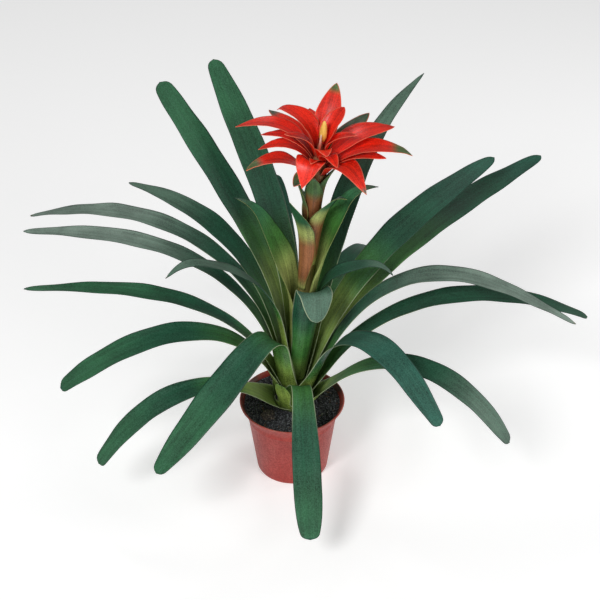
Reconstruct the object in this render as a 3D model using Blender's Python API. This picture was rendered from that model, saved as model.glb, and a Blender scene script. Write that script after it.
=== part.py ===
"""Potted bromeliad: a rosette of strap leaves round a leafy flower spike with a red star-shaped head,
planted in a plastic nursery pot. Metres, +Z up, +X to the right and -Y to the front; the origin is
the middle of the pot's flat underside.

Every leaf and bract is one blade: a strip that leaves its stem almost upright, wrapped round the stem,
and then arches outwards, opens and flattens. One function makes them all from a short list of sizes."""

import math
from collections import namedtuple

import bmesh
import bpy
from mathutils import Matrix, Vector

# Pot: a turned plastic shell with a flared collar, a flat floor and a ring of drain holes.
POT_HEIGHT = 0.095
POT_RIM_RADIUS = 0.060
POT_NECK_RADIUS = 0.0535
POT_FOOT_RADIUS = 0.041
POT_WALL = 0.0012
POT_LIP = 0.0022
POT_COLLAR_HEIGHT = 0.017
POT_FLOOR = 0.0016
POT_FOOT_BEVEL = 0.003
POT_SIDES = 64
DRAIN_HOLES = 8
DRAIN_HOLE_RADIUS = 0.0035
DRAIN_RING_RADIUS = 0.030

# Potting soil: fills the pot to a little under the rim, lies a hair lower at its edge, and opens round
# the plant's foot.
SOIL_BELOW_RIM = 0.004
SOIL_CROWN = 0.001
POCKET_FLARE = 0.004
SOIL_SIDES = 48
CLEARANCE = 0.0004

# Stem: a ball-shaped foot in the soil, a crown that the leaves sit round, a thin flower spike and, at
# its top, a short cone that carries the red head. Heights are above the plant's base, along the stem.
PLANT_DEPTH = 0.005
LEAN_RIGHT = math.radians(5.0)
FOOT_RADIUS = 0.0195
CROWN_HEIGHT = 0.060
SPIKE_RADIUS = 0.0080
SPIKE_TOP_RADIUS = 0.0065
HEAD_HEIGHT = 0.306
HEAD_FLARE = 0.010
HEAD_RADIUS = 0.0095
HEAD_LENGTH = 0.034
HEAD_TIP_RADIUS = 0.0025
STEM_SIDES = 20

# Blades come in three kinds. Clasp is how far round the stem each half of the foot reaches, and wrap the
# most that the blade bends round it. Sheath is the share of the length up to the waist, which is this share
# of the full width. A rolled blade starts to turn at roll_from.
Kind = namedtuple("Kind", "thickness rows columns clasp wrap sheath waist roll_from")
LEAF = Kind(0.0008, 14, 4, math.radians(50), math.radians(52), 0.20, 0.72, 0.0)
SHEATH = Kind(0.0007, 8, 4, math.radians(40), math.radians(75), 0.42, 1.0, 0.28)
PETAL = Kind(0.0007, 8, 4, math.radians(40), math.radians(42), 0.42, 1.0, 0.0)
MIDLINE_STEPS = 120
TWIST_SHARE = 0.42
BLADE_SWELL = 0.40
TIP_END = 0.02
CURL_START = 0.82
FOOT_GAP = 0.0009
TIP_HALF_WIDTH = 0.0010

SOIL_TOP = POT_HEIGHT - SOIL_BELOW_RIM
PLANT_BASE = SOIL_TOP - PLANT_DEPTH

# A blade's sizes. Angles are in degrees and lengths in millimetres, as a grower would note them down.
#   heading: which way it points, seen from above: 0 right, 90 back, 180 left, 270 front
#   seat: height of its foot above the plant's base, along the stem
#   rise, fall: slope of the midline at the foot and towards the tip; bend, sweep: where along the blade it
#   turns over, and over how much of its length; curl: how far the last stretch hooks down
#   roll: twist of the open blade about its midline; width: widest; channel: radius of the gutter across it
#   taper: share of the length that narrows to the tip; point: 2 narrows late, 1 evenly; tip: width it ends in
Blade = namedtuple(
    "Blade", "name length width heading seat rise fall bend sweep curl roll channel taper point tip", defaults=[0]
)

LEAVES = [
    # name                     length width heading seat rise fall bend sweep curl roll channel taper point tip
    Blade("leaf_01_left_low", 258, 28, 203, 4, 48, -60, 0.45, 0.90, 0, -12, 60, 0.35, 1.6, 13),
    Blade("leaf_02_right_low", 300, 29, 337, 4, 65, -47, 0.52, 0.70, 0, 10, 60, 0.30, 1.7, 12),
    Blade("leaf_03_back_low", 280, 32, 100, 4, 62, -40, 0.50, 0.70, 0, 0, 40, 0.30, 1.6, 12),
    Blade("leaf_04_front", 231, 31, 277, 7, 78, -35, 0.25, 0.14, 0, 0, 60, 0.22, 1.8, 14),
    Blade("leaf_05_left_broad", 318, 33, 194, 10.4, 78, -40, 0.38, 0.80, 0, -5, 60, 0.25, 1.8, 16),
    Blade("leaf_06_back_right_low", 290, 32, 66, 8, 66, -35, 0.50, 0.70, 0, 0, 40, 0.30, 1.6, 12),
    Blade("leaf_07_right_arching", 384, 31, 8, 12, 73, -24, 0.38, 0.98, 0, 0, 40, 0.30, 1.4, 10),
    Blade("leaf_08_right_front", 279, 33, 317, 15, 76, -38, 0.54, 0.41, 0, 8, 60, 0.35, 1.5, 13),
    Blade("leaf_09_left_slender", 350, 28, 184, 14, 80, -6, 0.20, 1.00, 0, 0, 26, 0.40, 1.3, 3),
    Blade("leaf_10_right_behind", 400, 38, 32, 19, 75, 17, 0.28, 0.80, 0, 0, 50, 0.35, 1.5, 8),
    Blade("leaf_11_front_left", 296, 42, 226, 19, 77, -36, 0.36, 0.12, 0, 0, 70, 0.35, 1.5, 12),
    Blade("leaf_12_left_mid", 386, 28, 175, 25, 81, -10, 0.38, 0.90, 0, 0, 35, 0.25, 1.3, 4),
    Blade("leaf_13_right_long", 400, 31, 3, 23, 73, -29, 0.48, 0.44, 0, 0, 40, 0.30, 1.3, 4),
    Blade("leaf_14_back", 245, 30, 107, 22, 80, 38, 0.40, 0.80, 0, 0, 40, 0.20, 1.9, 14),
    Blade("leaf_15_left_upper", 418, 29, 160, 29, 83, -27, 0.38, 1.00, 0, 0, 28, 0.25, 1.3, 4),
    Blade("leaf_16_right_broad", 345, 42, 29, 29, 78, 26, 0.40, 0.90, 0, 0, 50, 0.35, 1.5, 8),
    Blade("leaf_17_left_arching", 314, 33, 160, 34, 81, -1, 0.64, 1.00, 0, 0, 40, 0.30, 1.3, 3),
    Blade("leaf_18_curled_small", 278, 22, 208, 38, 83, 18, 0.54, 0.58, 60, 0, 30, 0.30, 1.3, 2),
    Blade("leaf_19_back_right", 385, 36, 45, 36, 82, 26, 0.80, 0.50, 0, 0, 45, 0.45, 1.2, 2),
    Blade("leaf_20_back_left", 364, 40, 148, 43, 86, 44, 0.25, 0.60, 0, 0, 80, 0.28, 1.8, 20),
    Blade("leaf_21_back_tall", 366, 38, 128, 48, 87, 42, 0.35, 0.60, 0, 0, 70, 0.28, 1.7, 13),
    Blade("leaf_22_right_short", 212, 24, 356, 48, 87, 12, 0.66, 0.26, 60, 0, 40, 0.30, 1.2, 2),
    Blade("leaf_23_front_folded", 170, 39, 290, 43, 85, -75, 0.80, 0.08, 0, 0, 60, 0.22, 1.5, 6),
    Blade("leaf_24_basal_front", 57, 20, 244, 4.8, 72, 60, 0.60, 0.70, 0, 0, 30, 0.40, 2.0, 6),
]

SPIKE_BRACTS = [
    Blade("spike_leaf_left", 232, 33, 170, 57, 88, 52, 0.62, 0.60, 45, -30, 28, 0.40, 1.1),
    Blade("spike_leaf_right", 255, 36, 4, 62, 89, 60, 0.80, 0.60, 60, 26, 30, 0.35, 1.1),
    Blade("spike_bract_left", 126, 30, 226, 166, 88, 56, 0.65, 0.50, 0, 0, 14, 0.40, 1.3),
    Blade("spike_bract_right", 108, 30, 320, 198, 87, 54, 0.65, 0.40, 50, 0, 14, 0.45, 1.1),
    Blade("spike_bract_back", 85, 24, 100, 212, 87, 56, 0.60, 0.50, 0, 0, 14, 0.45, 1.1),
    Blade("spike_bract_upper_left", 62, 21, 182, 240, 84, 66, 0.60, 0.50, 0, 0, 12, 0.50, 1.3),
    Blade("spike_bract_upper_front", 60, 22, 259, 256, 86, 60, 0.60, 0.50, 0, 0, 14, 0.50, 1.3),
    Blade("spike_bract_upper_right", 56, 23, 343, 266, 88, 62, 0.60, 0.50, 0, 0, 13, 0.50, 1.3),
]

HEAD_BRACTS = [
    Blade("bract_01_left_outer", 29, 18, 226, 304, 46, -50, 0.50, 0.80, 0, 0, 30, 0.50, 1.4),
    Blade("bract_02_back_right_outer", 83, 26, 50, 305, 50, 14, 0.50, 0.80, 0, 0, 30, 0.50, 1.4),
    Blade("bract_03_front_left", 52, 31, 245, 314, 62, -66, 0.44, 0.25, 0, 0, 30, 0.56, 1.1),
    Blade("bract_04_front_right", 69, 34, 319, 309, 57, -44, 0.45, 0.45, 0, 0, 34, 0.58, 1.1),
    Blade("bract_05_back", 76, 27, 98, 309, 52, 0, 0.50, 0.80, 0, 0, 30, 0.50, 1.4),
    Blade("bract_06_left_low", 75, 26, 196, 307, 48, -31, 0.50, 0.80, 20, 0, 30, 0.55, 1.3),
    Blade("bract_07_right", 96, 30, 358, 314, 51, -14, 0.45, 0.80, 20, 0, 30, 0.50, 1.4),
    Blade("bract_08_back_left", 76, 26, 138, 313, 55, 4, 0.50, 0.80, 0, 0, 30, 0.50, 1.4),
    Blade("bract_09_left", 64, 22, 182, 318.7, 57, -34, 0.50, 0.80, 0, 0, 30, 0.55, 1.3),
    Blade("bract_10_right_upper", 84, 32, 20, 319, 54, -5, 0.50, 0.80, 0, 0, 34, 0.50, 1.4),
    Blade("bract_11_front_small", 34, 19, 302, 322, 66, -30, 0.50, 0.40, 0, 0, 15, 0.60, 1.3),
    Blade("bract_12_left_long", 96, 25, 167, 325, 58, -30, 0.45, 0.80, 0, 0, 25, 0.50, 1.4),
    Blade("bract_13_top", 76, 28, 74, 324, 76, 42, 0.50, 0.80, 0, 0, 25, 0.50, 1.4),
    Blade("bract_14_left_small", 30, 13, 252, 318.5, 66, 0, 0.50, 0.60, 0, 0, 12, 0.60, 1.3),
    Blade("bract_15_right_inner", 44, 19, 349, 330, 79, 6, 0.50, 0.80, 0, 0, 14, 0.55, 1.4),
    Blade("bract_16_curled", 67, 29, 153, 332, 76, -3, 0.50, 0.70, 50, 0, 16, 0.50, 1.4),
    Blade("bract_17_top_right", 47, 24, 38, 335, 79, 44, 0.50, 0.80, 0, 0, 16, 0.45, 1.6),
    Blade("bract_18_front_inner", 34, 18, 280, 327, 74, -6, 0.50, 0.60, 0, 0, 14, 0.55, 1.4),
    Blade("bract_19_left_inner", 46, 18, 197, 328, 71, 6, 0.50, 0.70, 0, 0, 14, 0.55, 1.4),
    Blade("bract_20_right_low", 68, 22, 348, 311.5, 54, -6, 0.50, 0.80, 0, 0, 30, 0.50, 1.4),
    Blade("bract_21_left_mid", 64, 20, 174, 322.5, 60, -20, 0.50, 0.80, 0, 0, 30, 0.50, 1.4),
]

# The flowers in the middle of the head: radius, length, height of the lower end above the stem's tip,
# reach from the stem's axis and heading, in millimetres and degrees
FLOWERS = {
    "flower_bud": (4.0, 24, 0.4, 1.5, 0),
    "flower_bud_small": (1.5, 20, -8, 6.0, 262),
}


def clear_scene():
    for old in list(bpy.data.objects):
        bpy.data.objects.remove(old, do_unlink=True)


def material(name, colour, roughness):
    made = bpy.data.materials.new(name)
    made.use_nodes = True
    shader = made.node_tree.nodes["Principled BSDF"]
    shader.inputs["Base Color"].default_value = (*colour, 1)
    shader.inputs["Roughness"].default_value = roughness
    shader.inputs["Metallic"].default_value = 0
    return made


def add_object(name, mesh, finish, parent=None):
    made = bpy.data.objects.new(name, mesh)
    bpy.context.scene.collection.objects.link(made)
    mesh.materials.append(finish)
    made.parent = parent
    return made


def turned(name, profile, sides):
    """A solid of revolution about Z. The profile starts and ends on the axis."""
    shape = bmesh.new()
    verts = [shape.verts.new((r, 0, z)) for r, z in profile]
    edges = [shape.edges.new(pair) for pair in zip(verts, verts[1:])]
    bmesh.ops.spin(
        shape, geom=verts + edges, cent=(0, 0, 0), axis=(0, 0, 1),
        angle=2 * math.pi, steps=sides, use_merge=True, use_duplicate=False,
    )
    bmesh.ops.remove_doubles(shape, verts=shape.verts, dist=1e-6)
    bmesh.ops.recalc_face_normals(shape, faces=shape.faces)
    mesh = bpy.data.meshes.new(name)
    shape.to_mesh(mesh)
    shape.free()
    mesh.shade_smooth()
    mesh.set_sharp_from_angle(angle=math.radians(35))
    return mesh


def wall_radius(height):
    """Outer radius of the pot's straight wall, which tapers evenly from neck to foot."""
    return POT_FOOT_RADIUS + (POT_NECK_RADIUS - POT_FOOT_RADIUS) * height / POT_HEIGHT


def inner_radius(height):
    return wall_radius(height) - POT_WALL


def collar_radius(height):
    """Outer radius of the collar, which flares from the straight wall to just inside the lip."""
    collar_foot = POT_HEIGHT - POT_COLLAR_HEIGHT
    share = (height - collar_foot) / (POT_COLLAR_HEIGHT - POT_LIP)
    return wall_radius(collar_foot) + (POT_RIM_RADIUS - POT_LIP - wall_radius(collar_foot)) * share**1.3


def build_pot(finish):
    """The profile runs out under the floor, up the outer side, over the lip and down the inner side."""
    collar_foot = POT_HEIGHT - POT_COLLAR_HEIGHT
    profile = [(0, 0), (POT_FOOT_RADIUS - POT_FOOT_BEVEL, 0)]
    profile += [(POT_FOOT_RADIUS - POT_FOOT_BEVEL * 0.3, POT_FOOT_BEVEL * 0.3)]
    profile += [(wall_radius(POT_FOOT_BEVEL), POT_FOOT_BEVEL)]
    profile += [(wall_radius(collar_foot), collar_foot)]
    for share in (0.35, 0.7, 1.0):
        height = collar_foot + (POT_COLLAR_HEIGHT - POT_LIP) * share
        profile.append((collar_radius(height), height))
    profile += [(POT_RIM_RADIUS, POT_HEIGHT - POT_LIP), (POT_RIM_RADIUS, POT_HEIGHT - POT_LIP * 0.3)]
    profile += [(POT_RIM_RADIUS - POT_LIP * 0.3, POT_HEIGHT)]
    profile += [(POT_RIM_RADIUS - POT_LIP, POT_HEIGHT)]
    for share in (1.0, 0.7, 0.35):
        height = collar_foot + (POT_COLLAR_HEIGHT - POT_LIP) * share
        profile.append((collar_radius(height) - POT_WALL, height))
    profile += [(inner_radius(collar_foot), collar_foot), (inner_radius(POT_FLOOR), POT_FLOOR), (0, POT_FLOOR)]
    pot = add_object("pot", turned("pot", profile, POT_SIDES), finish)

    cutters = bmesh.new()
    for i in range(DRAIN_HOLES):
        turn = 2 * math.pi * (i + 0.5) / DRAIN_HOLES
        place = Matrix.Translation(
            (DRAIN_RING_RADIUS * math.cos(turn), DRAIN_RING_RADIUS * math.sin(turn), POT_FLOOR / 2)
        )
        bmesh.ops.create_cone(
            cutters, cap_ends=True, segments=12, radius1=DRAIN_HOLE_RADIUS,
            radius2=DRAIN_HOLE_RADIUS, depth=4 * POT_FLOOR, matrix=place,
        )
    holes = bpy.data.meshes.new("drain_hole_cutter")
    cutters.to_mesh(holes)
    cutters.free()
    cutter = bpy.data.objects.new("drain_hole_cutter", holes)
    bpy.context.scene.collection.objects.link(cutter)
    cutter.hide_render = True
    cutter.display_type = "WIRE"
    cut = pot.modifiers.new("drain holes", "BOOLEAN")
    cut.operation = "DIFFERENCE"
    cut.solver = "EXACT"
    cut.object = cutter
    return pot


def build_soil(finish):
    """The soil plug stands a hair off the pot all round and opens round the plant's foot."""
    floor = POT_FLOOR + CLEARANCE
    collar_foot = POT_HEIGHT - POT_COLLAR_HEIGHT
    edge = SOIL_TOP - SOIL_CROWN
    pocket = FOOT_RADIUS + CLEARANCE
    arc = [math.radians(turn) for turn in range(0, 91, 15)]
    profile = [(pocket * math.sin(turn), PLANT_BASE - pocket * math.cos(turn)) for turn in arc]
    profile += [(pocket + POCKET_FLARE, SOIL_TOP), (collar_radius(edge) * 0.85, SOIL_TOP)]
    for height in (edge, collar_foot + (edge - collar_foot) * 0.5, collar_foot):
        profile.append((collar_radius(height) - POT_WALL - CLEARANCE, height))
    profile += [(inner_radius(floor) - CLEARANCE, floor), (0, floor)]
    return add_object("soil", turned("soil", profile, SOIL_SIDES), finish)


def stem_outline():
    """(height, radius) up the stem above the plant's base."""
    rings = 9
    shares = [i / rings for i in range(rings + 1)]
    crown = [
        (CROWN_HEIGHT * share, SPIKE_RADIUS + (FOOT_RADIUS - SPIKE_RADIUS) * (1 - share) ** 1.6)
        for share in shares
    ]
    return crown + [
        (HEAD_HEIGHT - HEAD_FLARE, SPIKE_TOP_RADIUS),
        (HEAD_HEIGHT, HEAD_RADIUS),
        (HEAD_HEIGHT + HEAD_LENGTH, HEAD_TIP_RADIUS),
    ]


def stem_radius(height):
    """Radius of the stem at a height above the plant's base, read off its outline."""
    outline = stem_outline()
    for (low, wide), (high, narrow) in zip(outline, outline[1:]):
        if height <= high:
            return wide + (narrow - wide) * (height - low) / (high - low)
    return HEAD_TIP_RADIUS


def build_stem(finish, parent):
    """One turned solid: the foot is a ball, so that it fits its pocket however far the plant leans."""
    ball = [math.radians(turn) for turn in range(0, 90, 15)]
    profile = [(FOOT_RADIUS * math.sin(turn), -FOOT_RADIUS * math.cos(turn)) for turn in ball]
    profile += [(radius, height) for height, radius in stem_outline()]
    profile += [(0, HEAD_HEIGHT + HEAD_LENGTH + HEAD_TIP_RADIUS)]
    return add_object("stem", turned("stem", profile, STEM_SIDES), finish, parent)


def smooth(share):
    """0 to 1 with a soft start and end."""
    share = min(1, max(0, share))
    return share * share * (3 - 2 * share)


def turn_share(blade, t):
    """How much of the turn from rise to fall is done at t: an S curve centred on the bend."""
    start, end, here = (math.tanh((x - blade.bend) / blade.sweep * 2) for x in (0, 1, t))
    return (here - start) / (end - start)


def half_width(blade, kind, t):
    """Half the blade's width: the foot wraps the stem, the blade swells to its width, the tip closes."""
    foot = stem_radius(blade.seat / 1000) * kind.clasp
    full = blade.width / 2000
    tip = blade.tip / 2000
    waist = full * kind.waist
    width = foot + (waist - foot) * smooth(t / kind.sheath)
    width += (full - waist) * smooth((t - kind.sheath) / BLADE_SWELL)
    into_tip = min(1, max(0, 1 - (1 - t) / blade.taper))
    width = tip + (width - tip) * (1 - into_tip**blade.point) ** (1 / blade.point)
    into_end = min(1, max(0, 1 - (1 - t) / TIP_END))
    return max(width * math.sqrt(1 - into_end**2), TIP_HALF_WIDTH)


def midline(blade, kind):
    """Points along the middle of the blade with the way it runs, its side and its upper face."""
    step = blade.length / 1000 / MIDLINE_STEPS
    heading = math.radians(blade.heading)
    outward = Vector((math.cos(heading), math.sin(heading), 0))
    across = Vector((-math.sin(heading), math.cos(heading), 0))
    up = Vector((0, 0, 1))
    foot = stem_radius(blade.seat / 1000) + FOOT_GAP
    place = outward * foot + up * blade.seat / 1000
    found = []
    for i in range(MIDLINE_STEPS + 1):
        t = i / MIDLINE_STEPS
        slope = blade.rise + (blade.fall - blade.rise) * turn_share(blade, t)
        slope = math.radians(slope - blade.curl * smooth((t - CURL_START) / (1 - CURL_START)))
        along = outward * math.cos(slope) + up * math.sin(slope)
        rolled = blade.roll * smooth((t - kind.roll_from) / TWIST_SHARE)
        twist = Matrix.Rotation(math.radians(rolled), 3, along)
        side = twist @ across
        found.append((t, place.copy(), side, along.cross(side), slope))
        place += along * step
    return found


def row_share(row, rows):
    """Rows stand closer together towards the tip, where the outline curves most."""
    return 1 - (1 - row / rows) ** 1.5


def blade_mesh(blade, kind):
    """The blade's middle surface: a grid bent over the midline, each row an arc across it."""
    line = midline(blade, kind)
    shape = bmesh.new()
    bmesh.ops.create_grid(shape, x_segments=kind.columns, y_segments=kind.rows, size=1)
    for vert in shape.verts:
        across = vert.co.x
        row = round((vert.co.y + 1) / 2 * kind.rows)
        t, place, side, face, slope = line[round(row_share(row, kind.rows) * MIDLINE_STEPS)]
        reach = math.hypot(place.x, place.y)
        half = half_width(blade, kind, t)
        gutter = 1000 / blade.channel * (1 - 0.6 * t)
        curl = min(max(math.sin(max(slope, 0)) / reach, gutter), kind.wrap / half)
        angle = across * half * curl
        vert.co = place + side * math.sin(angle) / curl + face * (1 - math.cos(angle)) / curl
    mesh = bpy.data.meshes.new(blade.name)
    shape.to_mesh(mesh)
    shape.free()
    mesh.shade_smooth()
    return mesh


def build_blade(blade, kind, finish, parent):
    made = add_object(blade.name, blade_mesh(blade, kind), finish, parent)
    thicken = made.modifiers.new("thickness", "SOLIDIFY")
    thicken.thickness = kind.thickness
    thicken.offset = 0
    thicken.use_even_offset = True
    return made


def build_flower(name, radius, length, above, reach, heading, finish, parent):
    """A flower bud: an egg on end, on the stem's tip or close beside it."""
    shape = bmesh.new()
    bmesh.ops.create_uvsphere(shape, u_segments=12, v_segments=8, radius=1)
    bmesh.ops.scale(shape, vec=(radius / 1000, radius / 1000, length / 2000), verts=shape.verts)
    mesh = bpy.data.meshes.new(name)
    shape.to_mesh(mesh)
    shape.free()
    mesh.shade_smooth()
    made = add_object(name, mesh, finish, parent)
    turn = math.radians(heading)
    tip = HEAD_HEIGHT + HEAD_LENGTH + HEAD_TIP_RADIUS
    height = tip + (above + length / 2) / 1000
    made.location = (reach / 1000 * math.cos(turn), reach / 1000 * math.sin(turn), height)
    return made


def empty(name, location, parent=None):
    made = bpy.data.objects.new(name, None)
    bpy.context.scene.collection.objects.link(made)
    made.location = location
    made.parent = parent
    return made


def main():
    clear_scene()
    plastic = material("pot_plastic", (0.42, 0.075, 0.055), 0.45)
    soil = material("potting_soil", (0.012, 0.011, 0.010), 0.95)
    leaf = material("leaf", (0.020, 0.090, 0.040), 0.35)
    spike_leaf = material("spike_leaf", (0.10, 0.20, 0.05), 0.40)
    red = material("flower_bract", (0.75, 0.02, 0.01), 0.40)
    yellow = material("flower_bud", (0.80, 0.45, 0.08), 0.45)
    pith = material("stem_green", (0.25, 0.30, 0.10), 0.50)

    build_pot(plastic)
    build_soil(soil)
    rosette = empty("rosette", (0, 0, PLANT_BASE))
    rosette.rotation_euler.y = LEAN_RIGHT
    build_stem(pith, rosette)
    for blade in LEAVES:
        build_blade(blade, LEAF, leaf, rosette)
    for blade in SPIKE_BRACTS:
        build_blade(blade, SHEATH, spike_leaf, rosette)
    for blade in HEAD_BRACTS:
        build_blade(blade, PETAL, red, rosette)
    for name, sizes in FLOWERS.items():
        build_flower(name, *sizes, yellow, rosette)


main()
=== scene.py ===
"""A red star bromeliad in its nursery pot, from the pot up to the flower. Metres, +Z up, -Y to the front."""

import math
import random
from collections import namedtuple

import bmesh
import bpy
from mathutils import Matrix, Vector, noise


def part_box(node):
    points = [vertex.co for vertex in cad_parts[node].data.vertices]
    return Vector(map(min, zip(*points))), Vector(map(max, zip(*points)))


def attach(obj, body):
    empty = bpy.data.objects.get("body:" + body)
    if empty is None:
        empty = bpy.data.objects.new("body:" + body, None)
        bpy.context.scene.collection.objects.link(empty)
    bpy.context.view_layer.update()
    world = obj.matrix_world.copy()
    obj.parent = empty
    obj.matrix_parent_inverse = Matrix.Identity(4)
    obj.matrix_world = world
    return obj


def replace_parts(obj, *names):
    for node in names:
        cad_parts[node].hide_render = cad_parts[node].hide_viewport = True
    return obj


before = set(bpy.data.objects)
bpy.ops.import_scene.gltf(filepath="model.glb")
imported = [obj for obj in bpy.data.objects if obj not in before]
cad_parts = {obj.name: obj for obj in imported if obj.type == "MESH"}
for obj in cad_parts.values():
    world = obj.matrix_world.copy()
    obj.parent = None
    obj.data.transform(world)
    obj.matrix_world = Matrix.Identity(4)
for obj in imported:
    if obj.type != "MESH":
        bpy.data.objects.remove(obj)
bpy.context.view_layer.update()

# ---------------------------------------------------------------------------------------------------------
# Nursery pot. Thin injection-moulded polypropylene, brick red, with a collar that flares to a rolled lip and
# a flat floor. The mould leaves a faint step round the wall and an orange-peel skin; handling leaves pale
# scuffs at the lip and the foot.
# ---------------------------------------------------------------------------------------------------------
POT_LOW, POT_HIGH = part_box("pot")
POT_HEIGHT = POT_HIGH.z
POT_RIM_RADIUS = POT_HIGH.x
POT_NECK_RADIUS = 0.0535
POT_FOOT_RADIUS = 0.041
POT_WALL = 0.0012
POT_LIP = 0.0022
POT_COLLAR_HEIGHT = 0.017
POT_FLOOR = 0.0016
POT_FOOT_BEVEL = 0.003
POT_STEP_HEIGHT = 0.0735
POT_STEP_DEPTH = 0.0006
POT_SIDES = 160
COLLAR_FLARE = 1.3
FOOT_EASE = 0.0004
LIP_WEAR = 0.0035
FOOT_WEAR = 0.005
SPLASH_DEPTH = 0.020
CLEAN_LIP = 0.002
DRAIN_HOLES = 8
DRAIN_HOLE_RADIUS = 0.0035
DRAIN_RING_RADIUS = 0.030
POT_RED = (0.335, 0.026, 0.018)
POT_RED_LIGHT = (0.410, 0.040, 0.028)
POT_RED_DARK = (0.205, 0.017, 0.012)
POT_SCUFF = (0.62, 0.26, 0.20)
POT_GRIME_AND_INSIDE_DARK = (0.060, 0.028, 0.020)


def piece(name, mesh, finishes):
    """A finished piece of the plant: it rides on the one body and takes the given finishes, in order, as its
    material slots.
    """
    made = bpy.data.objects.new(name, mesh)
    bpy.context.scene.collection.objects.link(made)
    for finish in finishes:
        mesh.materials.append(finish)
    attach(made, "root")
    return made


def mesh_from(shape, name, sharp=40):
    mesh = bpy.data.meshes.new(name)
    shape.to_mesh(mesh)
    shape.free()
    mesh.shade_smooth()
    mesh.set_sharp_from_angle(angle=math.radians(sharp))
    return mesh


def turned(profile, sides):
    """A closed solid of revolution about Z from (radius, height) points that start and end on the axis."""
    shape = bmesh.new()
    verts = [shape.verts.new((r, 0, z)) for r, z in profile]
    edges = [shape.edges.new(pair) for pair in zip(verts, verts[1:])]
    bmesh.ops.spin(
        shape, geom=verts + edges, cent=(0, 0, 0), axis=(0, 0, 1),
        angle=2 * math.pi, steps=sides, use_merge=True, use_duplicate=False,
    )
    bmesh.ops.remove_doubles(shape, verts=shape.verts, dist=1e-6)
    bmesh.ops.recalc_face_normals(shape, faces=shape.faces)
    return shape


def arc(centre, radius, start, end, steps):
    """(radius, height) points along a round edge, angles in degrees from straight outwards."""
    turns = [math.radians(start + (end - start) * i / steps) for i in range(steps + 1)]
    return [(centre[0] + radius * math.cos(a), centre[1] + radius * math.sin(a)) for a in turns]


def shader(name, **plain):
    """A material with its Principled shader; plain gives sockets that are the same all over."""
    made = bpy.data.materials.new(name)
    made.use_nodes = True
    skin = made.node_tree.nodes["Principled BSDF"]
    for socket, value in plain.items():
        skin.inputs[socket.replace("_", " ")].default_value = value
    return made, made.node_tree, skin


def node(tree, kind, inputs=None, **settings):
    """One shader node; inputs maps a socket's name or number to a value or to another node's output."""
    made = tree.nodes.new(kind if kind.startswith("NodeGroup") else "ShaderNode" + kind)
    for name, value in settings.items():
        setattr(made, name, value)
    for socket, value in (inputs or {}).items():
        if isinstance(value, bpy.types.NodeSocket):
            tree.links.new(value, made.inputs[socket])
        else:
            made.inputs[socket].default_value = value
    return made


def mix_colour(tree, share, first, second):
    made = node(tree, "Mix", {"Factor": share}, data_type="RGBA", blend_type="MIX")
    for socket, value in zip(("A", "B"), (first, second)):
        target = next(s for s in made.inputs if s.name == socket and s.type == "RGBA")
        if isinstance(value, bpy.types.NodeSocket):
            tree.links.new(value, target)
        else:
            target.default_value = (*value, 1)
    return next(s for s in made.outputs if s.type == "RGBA")


def band(tree, value, start, end, low=0.0, high=1.0):
    """A smooth step of value between start and end."""
    made = node(
        tree, "MapRange",
        {"Value": value, "From Min": start, "From Max": end, "To Min": low, "To Max": high},
        interpolation_type="SMOOTHSTEP",
    )
    return made.outputs["Result"]


def sum_of(tree, first, second):
    return node(tree, "Math", {0: first, 1: second}, operation="ADD").outputs[0]


def times(tree, first, second):
    return node(tree, "Math", {0: first, 1: second}, operation="MULTIPLY").outputs[0]


def drawn_out(tree, place, scale, detail=3.0):
    """Noise stretched by its own scale along each axis, for flow marks, fibres and veins."""
    stretched = node(tree, "Mapping", {"Vector": place, "Scale": scale}).outputs[0]
    return node(tree, "TexNoise", {"Vector": stretched, "Scale": 1.0, "Detail": detail}).outputs[0]


def relief(tree, skin, height, strength, depth):
    """Fine unevenness of the surface: height is the pattern, depth its size in metres."""
    bump = node(tree, "Bump", {"Strength": strength, "Distance": depth, "Height": height})
    tree.links.new(bump.outputs[0], skin.inputs["Normal"])


def new_group(name, inputs, outputs):
    """A shader node group with named sockets. Returns it with its input and output nodes."""
    made = bpy.data.node_groups.new(name, "ShaderNodeTree")
    for label, kind in inputs:
        made.interface.new_socket(name=label, in_out="INPUT", socket_type="NodeSocket" + kind)
    for label, kind in outputs:
        made.interface.new_socket(name=label, in_out="OUTPUT", socket_type="NodeSocket" + kind)
    return made, made.nodes.new("NodeGroupInput"), made.nodes.new("NodeGroupOutput")


def mottle_group():
    """Soft blotches and fine grain, which every surface here has at its own scale."""
    tree, given, put = new_group(
        "mottle",
        [("Place", "Vector"), ("Blotch Scale", "Float"), ("Grain Scale", "Float")],
        [("Blotch", "Float"), ("Grain", "Float")],
    )
    soft = node(tree, "TexNoise", {
        "Vector": given.outputs["Place"], "Scale": given.outputs["Blotch Scale"], "Detail": 4.0,
    })
    fine = node(tree, "TexNoise", {
        "Vector": given.outputs["Place"], "Scale": given.outputs["Grain Scale"], "Detail": 6.0,
        "Roughness": 0.6,
    })
    tree.links.new(band(tree, soft.outputs[0], 0.3, 0.7), put.inputs["Blotch"])
    tree.links.new(band(tree, fine.outputs[0], 0.3, 0.7), put.inputs["Grain"])
    return tree


MOTTLE = mottle_group()


def mottle(tree, place, blotch_scale, grain_scale):
    return node(tree, "Group", {
        "Place": place, "Blotch Scale": blotch_scale, "Grain Scale": grain_scale,
    }, node_tree=MOTTLE)


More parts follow.
